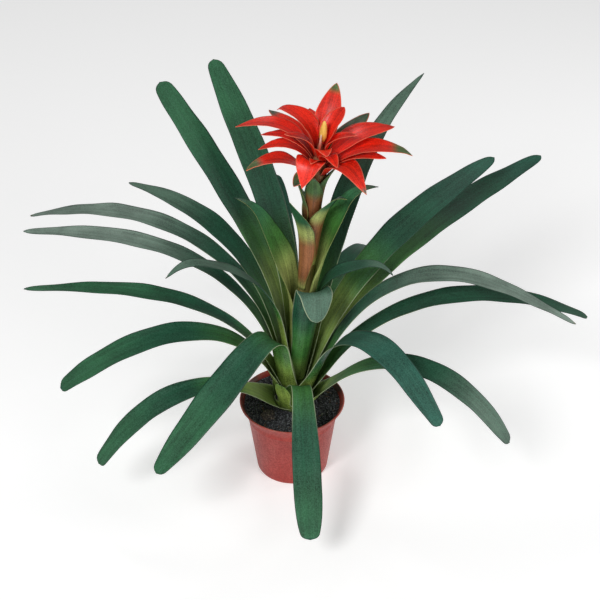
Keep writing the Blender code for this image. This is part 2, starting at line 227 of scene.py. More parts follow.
def moulded_plastic(name, inside_dark):
    """Matt moulded plastic: grainy, scuffed at lip and foot, with soil rubbed on near the top, and darkened
    in patches all over by a given amount.
    """
    made, tree, skin = shader(name, Metallic=0.0, IOR=1.49, Specular_IOR_Level=0.35)
    place = node(tree, "TexCoord").outputs["Object"]
    height = node(tree, "SeparateXYZ", {0: place}).outputs["Z"]
    rub = mottle(tree, place, 38.0, 520.0)
    flow = drawn_out(tree, place, (240.0, 240.0, 18.0))

    near_lip = band(tree, height, POT_HEIGHT - LIP_WEAR, POT_HEIGHT)
    near_foot = band(tree, height, FOOT_WEAR, 0.0)
    edge = sum_of(tree, near_lip, near_foot)
    worn = times(tree, edge, rub.outputs["Grain"])
    tone = mix_colour(tree, rub.outputs["Blotch"], POT_RED, POT_RED_LIGHT)
    pitted = mix_colour(tree, band(tree, rub.outputs["Grain"], 0.2, 0.9, 0.0, 0.7), tone, POT_RED_DARK)
    streaked = mix_colour(tree, band(tree, flow, 0.45, 0.75, 0, 0.07), pitted, POT_SCUFF)
    scuffed = mix_colour(tree, times(tree, worn, 0.45), streaked, POT_SCUFF)
    splash = band(tree, height, POT_HEIGHT - SPLASH_DEPTH, POT_HEIGHT - CLEAN_LIP)
    dirt = node(tree, "TexNoise", {"Vector": place, "Scale": 420.0, "Detail": 8.0, "Roughness": 0.7})
    specks = times(tree, band(tree, dirt.outputs[0], 0.60, 0.70), splash)
    # The given amount darkens the plastic in patches all over; the inside copy takes a large one.
    marks = sum_of(tree, times(tree, specks, 0.35), inside_dark)
    specked_and_darkened = mix_colour(tree, times(tree, marks, rub.outputs["Blotch"]), scuffed, POT_GRIME_AND_INSIDE_DARK)
    tree.links.new(specked_and_darkened, skin.inputs["Base Color"])
    tree.links.new(band(tree, rub.outputs["Grain"], 0, 1, 0.38, 0.52), skin.inputs["Roughness"])
    peel = node(tree, "TexNoise", {"Vector": place, "Scale": 1300.0, "Detail": 2.0})
    relief(tree, skin, peel.outputs[0], 0.25, 0.00012)
    return made


def wall_radius(height):
    """Outer radius of the pot's straight wall, which tapers evenly from neck to foot."""
    return POT_FOOT_RADIUS + (POT_NECK_RADIUS - POT_FOOT_RADIUS) * height / POT_HEIGHT


def inner_radius(height):
    return wall_radius(height) - POT_WALL


def collar_radius(height):
    """Outer radius of the collar, which flares from the straight wall to just inside the lip."""
    foot = POT_HEIGHT - POT_COLLAR_HEIGHT
    share = (height - foot) / (POT_COLLAR_HEIGHT - POT_LIP)
    return wall_radius(foot) + (POT_RIM_RADIUS - POT_LIP - wall_radius(foot)) * share**COLLAR_FLARE


def collar(inset, top, steps):
    """The flared collar from its foot up to a height, as (radius, height) points."""
    foot = POT_HEIGHT - POT_COLLAR_HEIGHT
    heights = [foot + (top - foot) * i / steps for i in range(1, steps + 1)]
    return [(collar_radius(height) - inset, height) for height in heights]


def pot_outline():
    """Out under the floor, up the outer side, over the rolled lip and down the inner side."""
    foot = POT_HEIGHT - POT_COLLAR_HEIGHT
    corner = (POT_FOOT_RADIUS - POT_FOOT_BEVEL + FOOT_EASE, POT_FOOT_BEVEL)
    outline = [(0, 0), (DRAIN_RING_RADIUS, 0)]
    outline += arc(corner, POT_FOOT_BEVEL, -90, 0, 8)
    step = wall_radius(POT_STEP_HEIGHT)
    outline += [(step, POT_STEP_HEIGHT), (step + POT_STEP_DEPTH, POT_STEP_HEIGHT + POT_STEP_DEPTH)]
    outline += [(wall_radius(foot) + POT_STEP_DEPTH / 2, foot)]
    outline += collar(0, POT_HEIGHT - POT_LIP, 10)
    roll = POT_LIP / 2
    outline += arc((POT_RIM_RADIUS - roll, POT_HEIGHT - roll), roll, -60, 180, 14)
    outline += collar(POT_WALL, POT_HEIGHT - POT_LIP, 10)[::-1]
    outline += [(inner_radius(foot), foot), (inner_radius(POT_FLOOR), POT_FLOOR), (0, POT_FLOOR)]
    return outline


def drill(shape, name):
    """Cuts the ring of drain holes through the pot's floor and returns the finished mesh."""
    blank = bpy.data.objects.new(name, mesh_from(shape, name))
    bits = bmesh.new()
    for i in range(DRAIN_HOLES):
        turn = 2 * math.pi * (i + 0.5) / DRAIN_HOLES
        spot = Vector((math.cos(turn), math.sin(turn), 0)) * DRAIN_RING_RADIUS
        bmesh.ops.create_cone(
            bits, cap_ends=True, segments=24, radius1=DRAIN_HOLE_RADIUS, radius2=DRAIN_HOLE_RADIUS,
            depth=4 * POT_FLOOR, matrix=Matrix.Translation(spot),
        )
    drills = bpy.data.objects.new(name + "_bits", mesh_from(bits, name + "_bits"))
    bpy.context.scene.collection.objects.link(blank)
    bpy.context.scene.collection.objects.link(drills)
    cut = blank.modifiers.new("drain holes", "BOOLEAN")
    cut.operation = "DIFFERENCE"
    cut.solver = "EXACT"
    cut.object = drills
    ready = blank.evaluated_get(bpy.context.evaluated_depsgraph_get())
    mesh = bpy.data.meshes.new_from_object(ready)
    bpy.data.objects.remove(blank)
    bpy.data.objects.remove(drills)
    mesh.name = name
    mesh.materials.clear()
    return mesh


pot = piece(
    "nursery_pot", drill(turned(pot_outline(), POT_SIDES), "nursery_pot"),
    [moulded_plastic("pot_plastic", 0.0), moulded_plastic("pot_plastic_inside_dark", 1.30)],
)
# The inner faces above the floor take the copy of the plastic that is darkened all over.
for surface in pot.data.polygons:
    faces_in = surface.normal.x * surface.center.x + surface.normal.y * surface.center.y < 0
    surface.material_index = 1 if faces_in and surface.center.z > POT_FLOOR else 0
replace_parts(pot, "pot")

# ---------------------------------------------------------------------------------------------------------
# Potting soil. A damp peat mix, almost black: a lumpy top with loose crumbs and bark bits lying on it and a
# few white grains of perlite. It is only pressed in round the roots by hand.
# ---------------------------------------------------------------------------------------------------------
SOIL_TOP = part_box("soil")[1].z
SOIL_CLEARANCE = 0.0004
SOIL_DROP = 0.001
SOIL_SHOULDER = 0.002
SOIL_RADIUS = collar_radius(SOIL_TOP - SOIL_DROP) - POT_WALL - SOIL_CLEARANCE
SOIL_RINGS = 26
SOIL_SIDES = 96
SOIL_LUMP = 0.0019
LUMPS_PER_METRE = 90
LUMPLETS_PER_METRE = 240
PLANT_FOOT = 0.021
PEAT = (0.0050, 0.0055, 0.0068)
# Pale bluish grey of dry peat, which also paints glints on the soil.
PEAT_DRY_AND_GLINT = (0.150, 0.155, 0.170)
CLOD_DARK = (0.030, 0.024, 0.020)
CLOD_BROWN = (0.210, 0.165, 0.125)
CLOD_PLACE = (-0.026, -0.027)
CLOD_RADIUS = 0.0085
BARK_PALE = (0.16, 0.085, 0.045)
BARK_DARK = (0.035, 0.020, 0.012)
PERLITE_WHITE = (0.62, 0.60, 0.55)
PERLITE_SOILED = (0.30, 0.27, 0.22)


def soil_height(x, y):
    """Height of the soil's surface: lumps at two sizes, a slight heap at the plant and a sunken rim."""
    spot = Vector((x, y, 0))
    out = spot.length / SOIL_RADIUS
    lumps = noise.noise(spot * LUMPS_PER_METRE) + 0.5 * noise.noise(spot * LUMPLETS_PER_METRE)
    return SOIL_TOP + SOIL_LUMP * (lumps * 0.5 + 0.4 - out**6)


def soil_mesh():
    """The plug of soil that fills the pot, with its top raised and sunk into lumps."""
    floor = POT_FLOOR + SOIL_CLEARANCE
    gap = POT_WALL + SOIL_CLEARANCE
    outline = [(SOIL_RADIUS * i / SOIL_RINGS, SOIL_TOP) for i in range(SOIL_RINGS + 1)]
    outline += collar(gap, SOIL_TOP - SOIL_SHOULDER, 6)[::-1]
    for height in (POT_HEIGHT - POT_COLLAR_HEIGHT, floor):
        outline.append((inner_radius(height) - SOIL_CLEARANCE, height))
    outline.append((0, floor))
    shape = turned(outline, SOIL_SIDES)
    for vert in shape.verts:
        if vert.co.z > SOIL_TOP - 1e-5:
            vert.co.z = soil_height(vert.co.x, vert.co.y)
    return mesh_from(shape, "soil", 70)


def scatter(name, count, sizes, squash, seed, nearest=PLANT_FOOT, share_of_top=0.95):
    """Loose grains lying on the soil, joined in one mesh: each is a small ball knocked out of round."""
    chooser = random.Random(seed)
    shape = bmesh.new()
    reach = SOIL_RADIUS * share_of_top
    for _ in range(count):
        out = math.sqrt(chooser.uniform((nearest / reach) ** 2, 1)) * reach
        turn = chooser.uniform(0, 2 * math.pi)
        size = chooser.uniform(*sizes) * chooser.uniform(0.6, 1.0)
        x, y = out * math.cos(turn), out * math.sin(turn)
        out_limit = SOIL_RADIUS - size * squash[0]
        if out > out_limit:
            x, y = x * out_limit / out, y * out_limit / out
        spin = Matrix.Rotation(chooser.uniform(0, math.pi), 4, "Z")
        spin = spin @ Matrix.Rotation(chooser.uniform(-0.5, 0.5), 4, "X")
        grain = bmesh.ops.create_icosphere(shape, subdivisions=1, radius=size)["verts"]
        for vert in grain:
            vert.co *= 1 + 0.35 * noise.noise(vert.co * 900 + Vector((x, y, 0)) * 4000)
        bmesh.ops.scale(shape, vec=squash, verts=grain)
        bmesh.ops.transform(shape, matrix=spin, verts=grain)
        bmesh.ops.translate(shape, vec=(x, y, soil_height(x, y) + size * squash[2] * 0.35), verts=grain)
    return mesh_from(shape, name, 70)


def peat(name, dark, dry):
    """Damp peat: near-black, crumbled at two sizes, with pale flecks that are partly dry fibres and partly
    painted wet glints.
    """
    made, tree, skin = shader(name, Metallic=0.0)
    place = node(tree, "TexCoord").outputs["Object"]
    crumb = mottle(tree, place, 130.0, 520.0)
    cells = node(tree, "TexVoronoi", {"Vector": place, "Scale": 620.0}, feature="F1")
    # Pale flecks in the dry colour: partly dry fibres, partly painted glints.
    dry_and_glint_fleck = band(tree, crumb.outputs["Grain"], 0.50, 0.95)
    damp = mix_colour(tree, dry_and_glint_fleck, dark, dry)
    patch = mix_colour(tree, times(tree, crumb.outputs["Blotch"], 0.22), damp, dry)
    tree.links.new(patch, skin.inputs["Base Color"])
    tree.links.new(band(tree, crumb.outputs["Grain"], 0, 1, 0.95, 0.50), skin.inputs["Roughness"])
    rough = sum_of(tree, cells.outputs["Distance"], crumb.outputs["Grain"])
    relief(tree, skin, rough, 1.0, 0.0012)
    return made


def clod_mesh():
    """A broken lump of drier peat pressed into the soil in front of the plant."""
    shape = bmesh.new()
    bmesh.ops.create_icosphere(shape, subdivisions=4, radius=CLOD_RADIUS)
    for vert in shape.verts:
        vert.co *= 1 + 0.30 * noise.noise(vert.co * 160) + 0.16 * noise.noise(vert.co * 480)
        vert.co.z *= 0.45
    bmesh.ops.translate(shape, vec=(*CLOD_PLACE, soil_height(*CLOD_PLACE)), verts=shape.verts)
    return mesh_from(shape, "peat_clod", 80)


def grains(name, light, dark, roughness):
    """Perlite or bark: pale or brown grains, pitted, with soil rubbed into the pits."""
    made, tree, skin = shader(name, Metallic=0.0, Roughness=roughness)
    place = node(tree, "TexCoord").outputs["Object"]
    pits = mottle(tree, place, 260.0, 1500.0)
    tree.links.new(mix_colour(tree, pits.outputs["Grain"], dark, light), skin.inputs["Base Color"])
    relief(tree, skin, pits.outputs["Grain"], 0.7, 0.0003)
    return made


SOIL_FINISH = peat("potting_soil", PEAT, PEAT_DRY_AND_GLINT)
soil = piece("soil_top", soil_mesh(), [SOIL_FINISH])
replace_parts(soil, "soil")
CLOD_FINISH = peat("dry_peat", CLOD_DARK, CLOD_BROWN)
BARK_FINISH = grains("bark", BARK_PALE, BARK_DARK, 0.8)
PERLITE_FINISH = grains("perlite", PERLITE_WHITE, PERLITE_SOILED, 0.85)
for loose, finish in (
    (scatter("soil_crumbs", 1500, (0.0008, 0.0024), (1.1, 0.9, 0.8), 4), SOIL_FINISH),
    (clod_mesh(), CLOD_FINISH),
    (scatter("soil_lumps", 12, (0.0026, 0.0042), (1.2, 1.0, 0.6), 11, 0.030, 0.9), SOIL_FINISH),
    (scatter("bark_bits", 40, (0.0012, 0.0026), (1.8, 0.5, 0.35), 7), BARK_FINISH),
    (scatter("perlite", 16, (0.0008, 0.0014), (1.0, 0.9, 0.8), 3), PERLITE_FINISH),
):
    piece(loose.name, loose, [finish])

# ---------------------------------------------------------------------------------------------------------
# Stem. A short woody crown that the leaves clasp, a thin green flower spike above it, and the cone at its
# top that carries the red head. It grows leaning a little to the right.
# ---------------------------------------------------------------------------------------------------------
LEAN_RIGHT = math.radians(5.0)
FOOT_RADIUS = 0.0195
CROWN_HEIGHT = 0.060
SPIKE_RADIUS = 0.0080
SPIKE_TOP_RADIUS = 0.0065
HEAD_HEIGHT = 0.306
HEAD_FLARE = 0.010
HEAD_RADIUS = 0.0095
HEAD_LENGTH = 0.034
HEAD_TIP_RADIUS = 0.0025
CROWN_RINGS = 9
CROWN_TAPER = 1.6
STEM_RINGS = 60
STEM_SIDES = 40
BLUSH_FROM = 0.20
BLUSH_TO = 0.34
STEM_GREEN = (0.150, 0.190, 0.045)
STEM_PINK = (0.330, 0.090, 0.055)
STEM_DARK = (0.050, 0.060, 0.022)
PLANT_DEPTH = 0.005
ROSETTE = Matrix.Translation((0, 0, SOIL_TOP - PLANT_DEPTH)) @ Matrix.Rotation(LEAN_RIGHT, 4, "Y")


def stem_outline():
    """(height, radius) up the stem above the plant's base."""
    shares = [i / CROWN_RINGS for i in range(CROWN_RINGS + 1)]
    crown = [
        (CROWN_HEIGHT * share, SPIKE_RADIUS + (FOOT_RADIUS - SPIKE_RADIUS) * (1 - share) ** CROWN_TAPER)
        for share in shares
    ]
    return crown + [
        (HEAD_HEIGHT - HEAD_FLARE, SPIKE_TOP_RADIUS),
        (HEAD_HEIGHT, HEAD_RADIUS),
        (HEAD_HEIGHT + HEAD_LENGTH, HEAD_TIP_RADIUS),
    ]


def stem_radius(height):
    outline = stem_outline()
    for (low, wide), (high, narrow) in zip(outline, outline[1:]):
        if height <= high:
            return wide + (narrow - wide) * (height - low) / (high - low)
    return HEAD_TIP_RADIUS


def stem_mesh():
    """A half ball for the foot, then up the crown and the spike to the cone, leaning like the plant."""
    ball = [math.radians(turn) for turn in range(0, 90, 10)]
    profile = [(FOOT_RADIUS * math.sin(turn), -FOOT_RADIUS * math.cos(turn)) for turn in ball]
    heights = [HEAD_HEIGHT * i / STEM_RINGS for i in range(STEM_RINGS)]
    profile += [(stem_radius(height), height) for height in heights]
    profile += [(HEAD_RADIUS, HEAD_HEIGHT), (HEAD_TIP_RADIUS, HEAD_HEIGHT + HEAD_LENGTH)]
    profile += [(0, HEAD_HEIGHT + HEAD_LENGTH + HEAD_TIP_RADIUS)]
    shape = turned(profile, STEM_SIDES)
    bmesh.ops.transform(shape, matrix=ROSETTE, verts=shape.verts)
    return mesh_from(shape, "stem")


def stem_skin():
    """Green and fibrous at the crown, blushing pink up the spike."""
    made, tree, skin = shader("stem_green", Metallic=0.0, IOR=1.42)
    place = node(tree, "TexCoord").outputs["Object"]
    height = node(tree, "SeparateXYZ", {0: place}).outputs["Z"]
    blush = mottle(tree, place, 60.0, 1200.0)
    fibres = drawn_out(tree, place, (900.0, 900.0, 40.0))
    pink = mix_colour(tree, band(tree, height, BLUSH_FROM, BLUSH_TO), STEM_GREEN, STEM_PINK)
    patchy = mix_colour(tree, times(tree, blush.outputs["Blotch"], 0.5), pink, STEM_GREEN)
    lined = mix_colour(tree, band(tree, fibres, 0.45, 0.75, 0, 0.6), patchy, STEM_DARK)
    tree.links.new(lined, skin.inputs["Base Color"])
    tree.links.new(band(tree, blush.outputs["Grain"], 0, 1, 0.42, 0.62), skin.inputs["Roughness"])
    relief(tree, skin, fibres, 0.5, 0.0003)
    return made


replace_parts(piece("flower_stem", stem_mesh(), [stem_skin()]), "stem")

# ---------------------------------------------------------------------------------------------------------
# Leaves. Strap-shaped, tough and a little succulent, each growing from a broad sheath that clasps the crown.
# The sheath is lime green with a cream margin, the blade deep blue-green with fine lengthwise veins, a waxy
# bloom with painted sheen streaks along it and a thin dark margin; old tips dry to brown.
# ---------------------------------------------------------------------------------------------------------
# What all blades of a kind share: clasp is how far the foot reaches round the stem to each side, wrap the
# most that its gutter closes, sheath the share of the length that the foot takes, waist how much of its full
# width the blade has above it, ripple how much the margins wave.
Kind = namedtuple("Kind", "thickness rows columns clasp wrap sheath waist roll_from ripple")
LEAF = Kind(0.0008, 84, 14, math.radians(80), math.radians(82), 0.24, 0.72, 0.0, 0.00045)
MIDLINE_STEPS = 240
TWIST_SHARE = 0.42
BLADE_SWELL = 0.40
TIP_END = 0.02
CURL_START = 0.82
FOOT_GAP = 0.0009
TIP_HALF_WIDTH = 0.0004
THIN_EDGE = 0.45

# Each blade of the plant. Angles are in degrees and lengths in millimetres: heading 0 right, 90 back, 180
# left, 270 front; seat is the foot's height on the stem; rise and fall are the slopes at foot and tip; bend
# and sweep say where and how gently it turns over; curl hooks the tip and roll tips the blade to one side;
# channel is the radius of its gutter; taper and point shape the tip, which is tip wide.
Blade = namedtuple(
    "Blade", "name length width heading seat rise fall bend sweep curl roll channel taper point tip",
    defaults=[0],
)
LEAVES = [
    Blade("leaf_01_left_low", 258, 28, 203, 4, 48, -60, 0.45, 0.90, 0, -12, 60, 0.35, 1.6, 13),
    Blade("leaf_02_right_low", 300, 29, 337, 4, 65, -47, 0.52, 0.70, 0, 10, 60, 0.30, 1.7, 12),
    Blade("leaf_03_back_low", 280, 32, 100, 4, 62, -40, 0.50, 0.70, 0, 0, 40, 0.30, 1.6, 12),
    Blade("leaf_04_front", 231, 31, 277, 7, 78, -35, 0.25, 0.14, 0, 0, 60, 0.22, 1.8, 14),
    Blade("leaf_05_left_broad", 318, 33, 194, 10.4, 78, -40, 0.38, 0.80, 0, -5, 60, 0.25, 1.8, 16),
    Blade("leaf_06_back_right_low", 290, 32, 66, 8, 66, -35, 0.50, 0.70, 0, 0, 40, 0.30, 1.6, 12),
    Blade("leaf_07_right_arching", 384, 31, 8, 12, 73, -24, 0.38, 0.98, 0, 0, 40, 0.30, 1.4, 10),
    Blade("leaf_08_right_front", 279, 33, 317, 15, 76, -38, 0.54, 0.41, 0, 8, 60, 0.35, 1.5, 13),
    Blade("leaf_09_left_slender", 350, 28, 184, 14, 80, -6, 0.20, 1.00, 0, 0, 26, 0.40, 1.3, 3),
    Blade("leaf_10_right_behind", 400, 38, 32, 19, 75, 17, 0.28, 0.80, 0, 0, 50, 0.35, 1.5, 8),
    Blade("leaf_11_front_left", 296, 42, 226, 19, 77, -36, 0.36, 0.12, 0, 0, 70, 0.35, 1.5, 12),
    Blade("leaf_12_left_mid", 386, 28, 175, 25, 81, -10, 0.38, 0.90, 0, 0, 35, 0.25, 1.3, 4),
    Blade("leaf_13_right_long", 400, 31, 3, 23, 73, -29, 0.48, 0.44, 0, 0, 40, 0.30, 1.3, 4),
    Blade("leaf_14_back", 245, 30, 107, 22, 80, 38, 0.40, 0.80, 0, 0, 40, 0.20, 1.9, 14),
    Blade("leaf_15_left_upper", 418, 29, 160, 29, 83, -27, 0.38, 1.00, 0, 0, 28, 0.25, 1.3, 4),
    Blade("leaf_16_right_broad", 345, 42, 29, 29, 78, 26, 0.40, 0.90, 0, 0, 50, 0.35, 1.5, 8),
    Blade("leaf_17_left_arching", 314, 33, 160, 34, 81, -1, 0.64, 1.00, 0, 0, 40, 0.30, 1.3, 3),
    Blade("leaf_18_curled_small", 278, 22, 208, 38, 83, 18, 0.54, 0.58, 60, 0, 30, 0.30, 1.3, 2),
    Blade("leaf_19_back_right", 385, 36, 45, 36, 82, 26, 0.80, 0.50, 0, 0, 45, 0.45, 1.2, 2),
    Blade("leaf_20_back_left", 364, 40, 148, 43, 86, 44, 0.25, 0.60, 0, 0, 80, 0.28, 1.8, 20),
    Blade("leaf_21_back_tall", 366, 38, 128, 48, 87, 42, 0.35, 0.60, 0, 0, 70, 0.28, 1.7, 13),
    Blade("leaf_22_right_short", 212, 24, 356, 48, 87, 12, 0.66, 0.26, 60, 0, 40, 0.30, 1.2, 2),
    Blade("leaf_23_front_folded", 170, 39, 290, 43, 85, -75, 0.80, 0.08, 0, 0, 60, 0.22, 1.5, 6),
    Blade("leaf_24_basal_front", 57, 20, 244, 4.8, 72, 60, 0.60, 0.70, 0, 0, 30, 0.40, 2.0, 6),
]

# Leaf colours along a blade: lime up to a share of its length, then green, then its outer colour to the tip.
# The stunted basal leaf would only turn green beyond its own end, so it stays pale.
LIME = (0.230, 0.320, 0.060)
LEAF_GREEN = (0.045, 0.155, 0.026)
DEEP_GREEN = (0.006, 0.058, 0.027)
BLUE_GREEN = (0.009, 0.068, 0.042)
FRESH_GREEN = (0.022, 0.108, 0.044)
GREY_GREEN = (0.080, 0.140, 0.100)
SLATE_GREEN = (0.018, 0.098, 0.070)
SILVER_GREEN = (0.200, 0.265, 0.220)
DRY_TIP = (0.170, 0.130, 0.060)
# Pale colour of the leaves' wax bloom, which also paints their sheen streaks.
WAX_AND_SHEEN = (0.09, 0.23, 0.155)
CREAM = (0.45, 0.52, 0.33)
DARK_EDGE = (0.006, 0.026, 0.016)
MARGIN_WIDTH = 0.0012
LEAF_LOOKS = {
    "leaf_01_left_low": (0.16, 0.55, FRESH_GREEN, FRESH_GREEN),
    "leaf_02_right_low": (0.08, 0.60, GREY_GREEN, GREY_GREEN),
    "leaf_04_front": (0.03, 0.60, FRESH_GREEN, BLUE_GREEN),
    "leaf_05_left_broad": (0.14, 0.60, FRESH_GREEN, BLUE_GREEN),
    "leaf_07_right_arching": (0.05, 0.30, DEEP_GREEN, FRESH_GREEN),
    # Leaf 08's slate outer colour paints a grey-blue sheen on its middle.
    "leaf_08_right_front": (0.12, 0.30, SLATE_GREEN, SLATE_GREEN),
    "leaf_09_left_slender": (0.14, 0.40, FRESH_GREEN, GREY_GREEN),
    "leaf_10_right_behind": (0.26, 0.80, BLUE_GREEN, BLUE_GREEN),
    "leaf_11_front_left": (0.10, 0.55, FRESH_GREEN, FRESH_GREEN),
    "leaf_12_left_mid": (0.14, 0.40, SILVER_GREEN, SILVER_GREEN),
    "leaf_13_right_long": (0.10, 0.30, SILVER_GREEN, DRY_TIP),
    "leaf_15_left_upper": (0.14, 0.40, SILVER_GREEN, DRY_TIP),
    "leaf_16_right_broad": (0.30, 0.66, BLUE_GREEN, BLUE_GREEN),
    "leaf_17_left_arching": (0.12, 0.65, GREY_GREEN, GREY_GREEN),
    "leaf_18_curled_small": (0.30, 0.50, GREY_GREEN, DRY_TIP),
    "leaf_19_back_right": (0.18, 0.55, GREY_GREEN, GREY_GREEN),
    "leaf_20_back_left": (0.34, 0.65, FRESH_GREEN, FRESH_GREEN),
    "leaf_21_back_tall": (0.24, 0.60, FRESH_GREEN, FRESH_GREEN),
    "leaf_22_right_short": (0.18, 0.80, GREY_GREEN, GREY_GREEN),
    # Leaf 23's grey-green outer colour paints sheen on its folded flap, which faces the light.
    "leaf_23_front_folded": (0.01, 0.70, GREY_GREEN, GREY_GREEN),
    "leaf_24_basal_front": (0.50, 3.00, FRESH_GREEN, GREY_GREEN),
}
COMMON_LOOK = (0.14, 0.72, BLUE_GREEN, DRY_TIP)


def leaf_tints(lime_to, outer_from, outer, tip):
    """(share of the length, colour) steps along a leaf, which are blended smoothly between."""
    green_from = lime_to + (outer_from - lime_to) * 0.35
    deep_from = lime_to + (outer_from - lime_to) * 0.85
    return [
        (0.0, LIME), (lime_to, LIME), (green_from, LEAF_GREEN), (deep_from, DEEP_GREEN),
        (outer_from, DEEP_GREEN), (outer_from * 0.4 + 0.6, outer), (0.985, outer), (1.0, tip),
    ]


def smooth(share):
    share = min(1, max(0, share))
    return share * share * (3 - 2 * share)


def turn_share(blade, t):
    """How much of the turn from rise to fall is done at t: an S curve centred on the bend."""
    start, end, here = (math.tanh((x - blade.bend) / blade.sweep * 2) for x in (0, 1, t))
    return (here - start) / (end - start)


def half_width(blade, kind, t):
    """Half the blade's width: the foot wraps the stem, the blade swells to its width, the tip closes."""
    foot = stem_radius(blade.seat / 1000) * kind.clasp
    full = blade.width / 2000
    tip = blade.tip / 2000
    waist = full * kind.waist
    width = foot + (waist - foot) * smooth(t / kind.sheath)
    width += (full - waist) * smooth((t - kind.sheath) / BLADE_SWELL)
    into_tip = min(1, max(0, 1 - (1 - t) / blade.taper))
    width = tip + (width - tip) * (1 - into_tip**blade.point) ** (1 / blade.point)
    into_end = min(1, max(0, 1 - (1 - t) / TIP_END))
    return max(width * math.sqrt(1 - into_end**2), TIP_HALF_WIDTH)


def midline(blade, kind):
    """Points along the middle of the blade with the way it runs, its side and its upper face."""
    step = blade.length / 1000 / MIDLINE_STEPS
    heading = math.radians(blade.heading)
    outward = Vector((math.cos(heading), math.sin(heading), 0))
    across = Vector((-math.sin(heading), math.cos(heading), 0))
    up = Vector((0, 0, 1))
    foot = stem_radius(blade.seat / 1000) + FOOT_GAP
    place = outward * foot + up * blade.seat / 1000
    found = []
    for i in range(MIDLINE_STEPS + 1):
        t = i / MIDLINE_STEPS
        slope = blade.rise + (blade.fall - blade.rise) * turn_share(blade, t)
        slope = math.radians(slope - blade.curl * smooth((t - CURL_START) / (1 - CURL_START)))
        along = outward * math.cos(slope) + up * math.sin(slope)
        rolled = blade.roll * smooth((t - kind.roll_from) / TWIST_SHARE)
        twist = Matrix.Rotation(math.radians(rolled), 3, along)
        side = twist @ across
        found.append((t, place.copy(), side, along.cross(side), slope))
        place += along * step
    return found


def row_share(row, rows):
    """Rows stand closer together towards the tip, where the outline curves most."""
    return 1 - (1 - row / rows) ** 1.5


def tint_at(tints, t):
    for (low, first), (high, second) in zip(tints, tints[1:]):
        if t <= high:
            share = smooth((t - low) / (high - low))
            return [a + (b - a) * share for a, b in zip(first, second)]
    return tints[-1][1]


def blade_mesh(blade, kind, tints):
    """The blade's middle surface, with its tint, its place along and across, and the way to its margin."""
    line = midline(blade, kind)
    phase = blade.seat + blade.heading
    shape = bmesh.new()
    strip = shape.loops.layers.uv.new("strip")
    tint = shape.verts.layers.float_color.new("tint")
    margin = shape.verts.layers.float.new("margin")
    along = shape.verts.layers.float.new("along")
    flesh = shape.verts.layers.deform.verify()
    bmesh.ops.create_grid(shape, x_segments=kind.columns, y_segments=kind.rows, size=1)
    metres = {}
    for vert in shape.verts:
        across = vert.co.x
        row = round((vert.co.y + 1) / 2 * kind.rows)
        t, place, side, face, slope = line[round(row_share(row, kind.rows) * MIDLINE_STEPS)]
        reach = math.hypot(place.x, place.y)
        half = half_width(blade, kind, t)
        gutter = 1000 / blade.channel * (1 - 0.6 * t)
        curl = min(max(math.sin(max(slope, 0)) / reach, gutter), kind.wrap / half)
        angle = across * half * curl
        wave = kind.ripple * abs(across) ** 3 * smooth((t - 0.25) * 4)
        wave *= math.sin(phase + across * 2 + t * blade.length / 9) + noise.noise((t * 14, across, phase))
        vert.co = place + side * math.sin(angle) / curl + face * ((1 - math.cos(angle)) / curl + wave)
        vert[tint] = (*tint_at(tints, t), 1)
        vert[margin] = (1 - abs(across)) * half
        vert[along] = t
        vert[flesh][0] = 1 - smooth((abs(across) - 0.4) / 0.6)
        metres[vert.index] = (across * half, t * blade.length / 1000)
    for surface in shape.faces:
        for loop in surface.loops:
            loop[strip].uv = metres[loop.vert.index]
    bmesh.ops.transform(shape, matrix=ROSETTE, verts=shape.verts)
    return mesh_from(shape, blade.name, 80)


def grow(blade, kind, tints, finishes):
    """One blade given its thickness: fleshy in the middle, thin at the margins; its back and rim follow."""
    made = piece(blade.name.replace("_", "-"), blade_mesh(blade, kind, tints), finishes)
    made.vertex_groups.new(name="flesh")
    thicken = made.modifiers.new("thickness", "SOLIDIFY")
    thicken.thickness = kind.thickness
    thicken.offset = 0
    thicken.vertex_group = "flesh"
    thicken.thickness_vertex_group = THIN_EDGE
    thicken.material_offset = 1
    thicken.material_offset_rim = 2
    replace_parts(made, blade.name)
    return made


